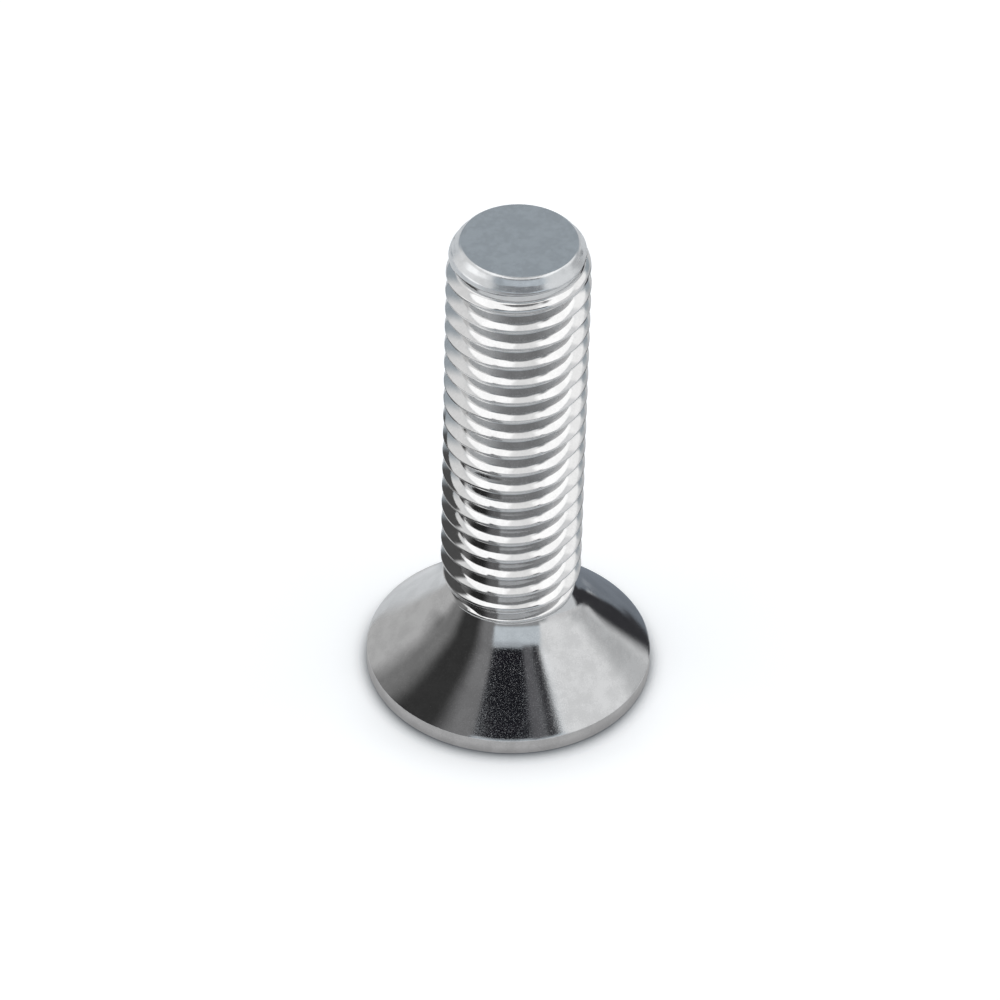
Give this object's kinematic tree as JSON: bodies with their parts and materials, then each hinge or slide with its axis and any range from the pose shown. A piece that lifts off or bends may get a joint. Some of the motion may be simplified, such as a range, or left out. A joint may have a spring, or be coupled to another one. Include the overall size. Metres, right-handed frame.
{
  "type": "countersunk socket screw",
  "caption": "Metric machine screw with a flat countersunk head, a hexagon socket and a helical thread up to the head, for joints that must finish flush.",
  "frame": {"origin": "centre of the head's flat face, where the hexagon socket opens", "axes": "+Z along the screw's axis from the head to the tip, so the screw stands on its head; +X and +Y square to it, with the socket's corners on X"},
  "size_m": [0.016, 0.016, 0.03],
  "materials": {
    "stainless_steel": "cold-formed stainless steel, bright rolled thread, satin head face, fine tool marks on the cone"
  },
  "bodies": {
    "root": {"screw": "stainless_steel"}
  },
  "joints": []
}
